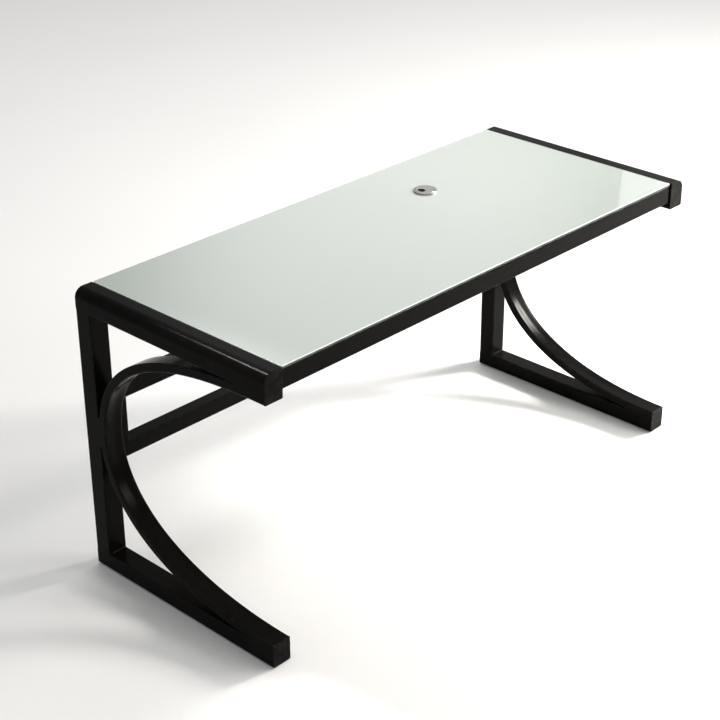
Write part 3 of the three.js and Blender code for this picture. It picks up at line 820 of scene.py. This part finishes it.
def cleat(node, side_sign, inward, coat):
    """Steel angle with a rounded bend and rounded ends, in the corner between two rails."""
    low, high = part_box(node)
    leg = high.x - low.x

    def arc(centre_u, centre_v, radius, start, sweep):
        angles = [math.radians(start + sweep * i / EDGE_STEPS) for i in range(EDGE_STEPS + 1)]
        return [(centre_u + radius * math.cos(a), centre_v + radius * math.sin(a)) for a in angles]

    def outline(inset):
        end = leg - inset
        inner = CLEAT_THICKNESS - inset
        bend = CLEAT_THICKNESS + CLEAT_INNER_BEND
        points = arc(CLEAT_BEND, CLEAT_BEND, CLEAT_BEND - inset, 180, 90)
        points += arc(leg - CLEAT_TIP, CLEAT_TIP, CLEAT_TIP - inset / 2, 270, 90)
        points += [(end, inner), (inner + CLEAT_INNER_BEND, inner)]
        points += arc(bend, bend, CLEAT_INNER_BEND + inset, 270, -90)
        points += [(inner, end), (inset, end)]
        return points

    corner_x = high.x if side_sign > 0 else low.x
    corner_y = low.y if inward > 0 else high.y
    shell = Shell()
    loops = []
    for z, inset, wear in levels_between(low.z, high.z, CLEAT_END):
        ring = [(corner_x - side_sign * u, corner_y + inward * v, z) for u, v in outline(inset)]
        if side_sign * inward > 0:
            ring.reverse()
        loops.append(shell.loop(ring, wear))
    shell.plug(loops)
    finish_piece(shell.become(f"{node}_skin", [coat]), "desk", "black_steel", node)


def cross_rails(coat, zinc):
    for node in ("front_rail", "rear_rail"):
        steel_bar(node, "x", coat, edges=(BUTT_EDGE, BUTT_EDGE))
    for side, sign in SIDES:
        for end, inward in (("front", 1), ("rear", -1)):
            cleat(f"cleat_{end}_{side}", sign, inward, coat)
            for target, direction in (("side", (sign, 0, 0)), ("rail", (0, -inward, 0))):
                node = f"cleat_screw_{end}_{side}_{target}"
                low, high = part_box(node)
                length = max(high - low) - SCREW_HEAD
                put_fastener(node, flange_screw(length), direction, SCREW_HEAD, zinc)


# ---------------------------------------------------------------- weld beads

def add_bead(shell, start, end, arm_a, arm_b):
    """Fillet bead from start to end in the corner between faces that run off along arm_a and arm_b."""
    start, end, arm_a, arm_b = Vector(start), Vector(end), Vector(arm_a), Vector(arm_b)
    length = (end - start).length
    steps = int(length / BEAD_STEP)
    outward = arm_a.cross(arm_b).dot(end - start) > 0
    loops = []
    wander = rng.uniform(0, math.tau)
    for step in range(steps + 1):
        along = step * length / steps
        ripple = abs(math.sin(math.pi * along / BEAD_PITCH))
        from_end = min(along, length - along) / (2 * BEAD_SIZE)
        fade = min(1.0, BEAD_END_SHARE + (1 - BEAD_END_SHARE) * from_end)
        sway = math.sin(wander + along / BEAD_WANDER)
        size = BEAD_SIZE * fade * (1 + BEAD_RIPPLE * ripple + BEAD_SWAY * sway)
        size += rng.uniform(-BEAD_UNEVEN, BEAD_UNEVEN) * BEAD_SIZE
        at = start.lerp(end, step / steps)
        ring = [at - (arm_a + arm_b) * BEAD_ROOT]
        for i in range(BEAD_ARC_STEPS + 1):
            turn = math.pi / 2 * i / BEAD_ARC_STEPS
            hollow = BEAD_HOLLOW * math.sin(2 * turn) * (1 - BEAD_HOLLOW_RIPPLE * ripple)
            reach = size * (1 - hollow)
            ring.append(at + arm_a * reach * math.cos(turn) + arm_b * reach * math.sin(turn))
        loops.append(shell.loop(ring if outward else reversed(ring)))
    shell.plug(loops)


def weld_beads(finish):
    """Beads in the inner corners of each side frame and at both ends of each ladder upright."""
    for side, sign in SIDES:
        shell = Shell()
        post_low, post_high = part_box(f"rear_post_{side}")
        foot_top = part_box(f"foot_rail_{side}")[1].z
        rail_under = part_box(f"top_rail_{side}")[0].z
        left = post_low.x + TUBE_CORNER
        right = post_high.x - TUBE_CORNER
        for z, up in ((foot_top, 1), (rail_under, -1)):
            add_bead(shell, (left, post_low.y, z), (right, post_low.y, z), (0, -1, 0), (0, 0, up))
        upright_low, upright_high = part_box(f"ladder_upright_{side}")
        inner_x = upright_low.x if sign > 0 else upright_high.x
        for z, up in ((upright_low.z, 1), (upright_high.z, -1)):
            ends = (upright_low.y + TUBE_CORNER, upright_high.y - TUBE_CORNER)
            add_bead(shell, (inner_x, ends[0], z), (inner_x, ends[1], z), (-sign, 0, 0), (0, 0, up))
        finish_piece(shell.become(f"weld_beads_{side}", [finish]), "desk", "black_steel")


# ---------------------------------------------------------------- glass top

def glass_top():
    low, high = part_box("glass_top")
    liner_low, liner_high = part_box("grommet_liner")
    hole = (liner_low + liner_high) / 2
    shell = Shell()
    outer, inner = [], []
    for z, inset, _ in levels_between(low.z, high.z, GLASS_ARRIS):
        outline = rounded(low.xy, high.xy, [GLASS_CORNER] * 4, CORNER_STEPS, inset)
        outer.append(shell.loop((x, y, z) for x, y in outline))
        ring = circle(HOLE_RADIUS + inset, z, ROUND_STEPS)
        inner.append(shell.loop((hole.x + x, hole.y + y, level) for x, y, level in reversed(ring)))
    shell.skin(outer, 1)
    shell.skin(inner, 1)
    shell.window(outer[-1], inner[-1], 0, True)
    shell.window(outer[0], inner[0], 2, False)
    piece = shell.become("glass_top_skin", [glass_face(), glass_edge_painted_light(), glass_paint()])
    finish_piece(piece, "desk", "painted_glass", "glass_top")


def glass_pads():
    finish = silicone()
    for end in ("front", "rear"):
        for number in (1, 2, 3):
            node = f"glass_pad_{end}_{number}"
            low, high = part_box(node)
            radius, centre = centred(node)
            pad = stack(circle(radius, low.z), *circles(radius, GLASS_PAD_ROUND, high.z))
            finish_piece(pad.become(f"{node}_skin", [finish], centre), "desk", "silicone_pad", node)


# ---------------------------------------------------------------- cable grommet

def slot_outline(grow, height):
    """Cable slot: a circle cut off by the wider cap circle, its two corners rounded, all grown outwards."""
    offset = SLOT_CENTRE.length
    heading = math.atan2(SLOT_CENTRE.y, SLOT_CENTRE.x)
    near = SLOT_RADIUS - SLOT_FILLET
    far = SLOT_LIMIT - SLOT_FILLET
    along = (offset ** 2 + far ** 2 - near ** 2) / (2 * offset)
    across = math.sqrt(far ** 2 - along ** 2)
    limit_turn = math.atan2(across, along)
    circle_turn = math.atan2(across, along - offset)
    pieces = (
        (0, 0, SLOT_LIMIT, -limit_turn, limit_turn, SLOT_LIMIT_STEPS),
        (along, across, SLOT_FILLET, limit_turn, circle_turn, SLOT_FILLET_STEPS),
        (offset, 0, SLOT_RADIUS, circle_turn, 2 * math.pi - circle_turn, SLOT_CIRCLE_STEPS),
        (along, -across, SLOT_FILLET, -circle_turn, -limit_turn, SLOT_FILLET_STEPS),
    )
    points = []
    for centre_u, centre_v, radius, start, end, steps in pieces:
        for step in range(steps):
            angle = start + (end - start) * step / steps
            u = centre_u + (radius + grow) * math.cos(angle)
            v = centre_v + (radius + grow) * math.sin(angle)
            x = u * math.cos(heading) - v * math.sin(heading)
            y = u * math.sin(heading) + v * math.cos(heading)
            points.append((x, y, height))
    return points


def rings_of(shell, profile):
    return [shell.loop(circle(radius, height, ROUND_STEPS)) for radius, height in profile]


def rounded_rim(radius, top, edge):
    return [(radius - inset, top - down) for down, inset, _ in reversed(rolled_edge(edge, RIM_STEPS))]


def liner_skin(flange, drop, top, seat_radius):
    """Liner with its flange and seat; its bore has the second material, the painted shade."""
    shell = Shell()
    rings = rings_of(shell, [
        (LINER_BORE, drop + LINER_EDGE), (LINER_BORE + LINER_EDGE, drop),
        (LINER_RADIUS - LINER_EDGE, drop), (LINER_RADIUS, drop + LINER_EDGE), (LINER_RADIUS, 0),
        (flange - FLANGE_FOOT_EDGE, 0), (flange, FLANGE_FOOT_EDGE), (flange, top - FLANGE_ROUND),
        *rounded_rim(flange, top, FLANGE_ROUND),
        (seat_radius + LINER_EDGE, top), (seat_radius + SEAT_RIM_CORNER, top - SEAT_RIM_CORNER),
        (seat_radius, top - LINER_EDGE), (seat_radius, SEAT),
        (LINER_BORE + SEAT_EDGE, SEAT), (LINER_BORE, SEAT - SEAT_EDGE),
    ])
    shell.skin(rings)
    # The bore gets the painted shade
    shell.strip(rings[-1], rings[0], 1)
    return shell


def cap_skin(cap, skirt, under, top):
    """Cap with its skirt and slot; skirt bore, underside and slot wall have the second material, the painted
    shade.
    """
    shell = Shell()
    rings = rings_of(shell, [
        (SKIRT_BORE, under), (SKIRT_BORE, skirt + SKIRT_EDGE), (SKIRT_BORE + SKIRT_EDGE, skirt),
        (SKIRT_RADIUS - SKIRT_EDGE, skirt), (SKIRT_RADIUS, skirt + SKIRT_EDGE), (SKIRT_RADIUS, under),
        (cap - CAP_UNDER_EDGE, under), (cap, under + CAP_UNDER_EDGE),
        *rounded_rim(cap, top, CAP_ROUND),
    ])
    # The skirt bore gets the painted shade
    shell.skin(rings[:2], 1)
    shell.skin(rings[1:])
    levels = levels_between(under, top, SLOT_UNDER_EDGE, SLOT_EDGE)
    slot_loops = [shell.loop(reversed(slot_outline(inset, z)), wear) for z, inset, wear in levels]
    # The slot's lower edge and wall get the painted shade, the rest is metal
    wall_end = EDGE_STEPS + 2
    shell.skin(slot_loops[:wall_end], 1)
    shell.skin(slot_loops[wall_end - 1:])
    shell.window(rings[-1], slot_loops[-1], 0, True)
    # The underside gets the painted shade
    shell.window(rings[0], slot_loops[0], 1, False)
    return shell


def grommet():
    metal_and_painted_shade = [grommet_metal(), grommet_painted_shade()]
    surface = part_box("glass_top")[1].z
    low, high = (corner.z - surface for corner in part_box("grommet_liner"))
    cap_low, cap_high = (corner.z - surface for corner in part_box("grommet_cap"))
    flange, centre = centred("grommet_liner", surface)
    cap = centred("grommet_cap")[0]
    liner = liner_skin(flange, low, high, cap + CAP_GAP).become("grommet_liner_skin", metal_and_painted_shade, centre)
    finish_piece(liner, "grommet", "grommet_metal", "grommet_liner")
    lid = cap_skin(cap, cap_low, SEAT + CAP_GAP, cap_high).become("grommet_cap_skin", metal_and_painted_shade, centre)
    finish_piece(lid, "cap", "grommet_metal", "grommet_cap")


# ---------------------------------------------------------------- floor

def make_floor():
    bpy.ops.mesh.primitive_plane_add(size=FLOOR_SIZE, location=(0, 0, 0))
    floor = bpy.context.object
    floor.name = "floor"
    floor.data.materials.append(floor_paint())


make_camera()
make_studio()
black_coat = powder_coat()
zinc = zinc_plate()
foot_rubber = rubber()
for side_name, side_sign in SIDES:
    side_frame(side_name, side_sign, black_coat, foot_rubber)
ladder(black_coat, zinc)
cross_rails(black_coat, zinc)
weld_beads(weld_coat())
glass_top()
glass_pads()
grommet()
for side_name, side_sign in SIDES:
    for level in ("lower", "upper"):
        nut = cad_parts[f"weld_nut_{level}_{side_name}"]
        nut.data.materials.clear()
        nut.data.materials.append(zinc)
make_floor()
